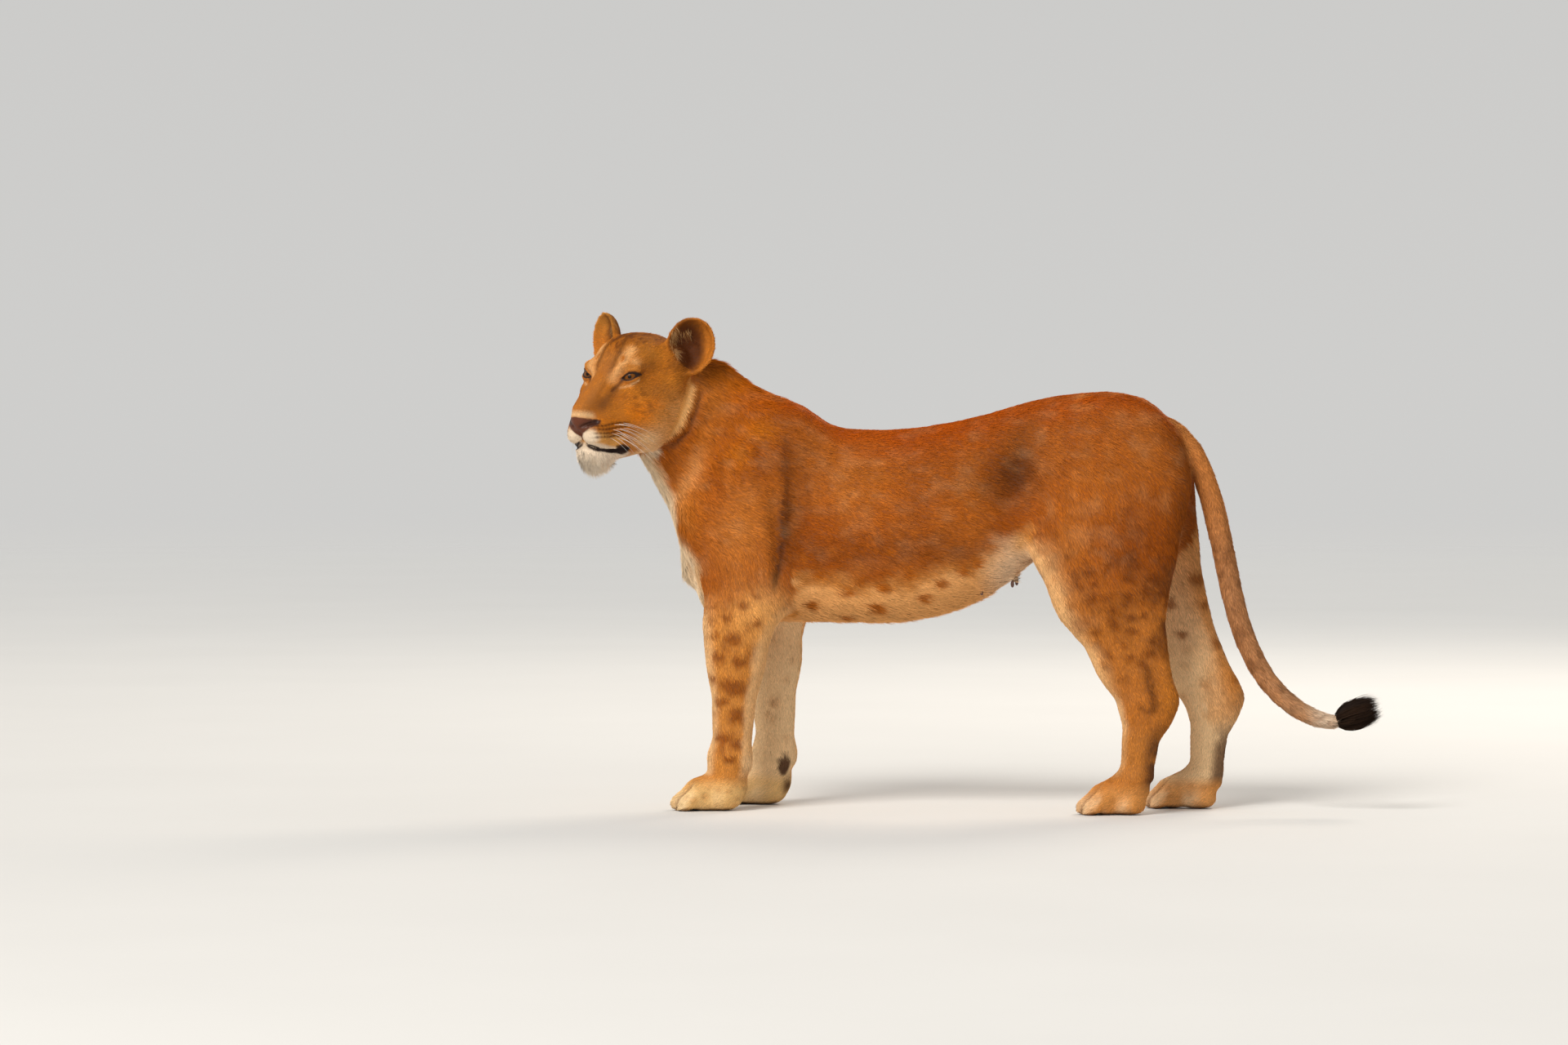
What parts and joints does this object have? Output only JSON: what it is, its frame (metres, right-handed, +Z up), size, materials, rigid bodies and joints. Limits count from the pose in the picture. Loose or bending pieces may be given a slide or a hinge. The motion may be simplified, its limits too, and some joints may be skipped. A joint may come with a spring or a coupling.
{
  "type": "lioness figure",
  "caption": "Life-size lioness standing still on four feet, head turned to her left, tail hanging behind with a dark tuft.",
  "frame": {"origin": "on the floor, at the centre of the model's own box seen from above", "axes": "-X ahead of the body, +X towards the tail, -Y to her left, +Z up"},
  "size_m": [1.818, 0.4486, 1.13],
  "materials": {
    "coat": "short tawny coat",
    "pale_coat": "short pale coat of the feet",
    "tuft": "long near-black hair",
    "eye": "wet and glossy"
  },
  "bodies": {
    "root": {"head": "coat", "neck": "coat", "chest": "coat", "abdomen": "coat", "hips": "coat", "ear_left": "coat", "eye_left": "eye", "foreleg_upper_left": "coat", "forearm_left": "coat", "fore_paw_left": "pale_coat", "thigh_left": "coat", "shank_left": "coat", "hind_foot_left": "coat", "hind_paw_left": "pale_coat", "ear_right": "coat", "eye_right": "eye", "foreleg_upper_right": "coat", "forearm_right": "coat", "fore_paw_right": "pale_coat", "thigh_right": "coat", "shank_right": "coat", "hind_foot_right": "coat", "hind_paw_right": "pale_coat", "tail_upper": "coat", "tail_middle": "coat", "tail_lower": "coat", "tail_tip": "tuft"}
  },
  "joints": []
}
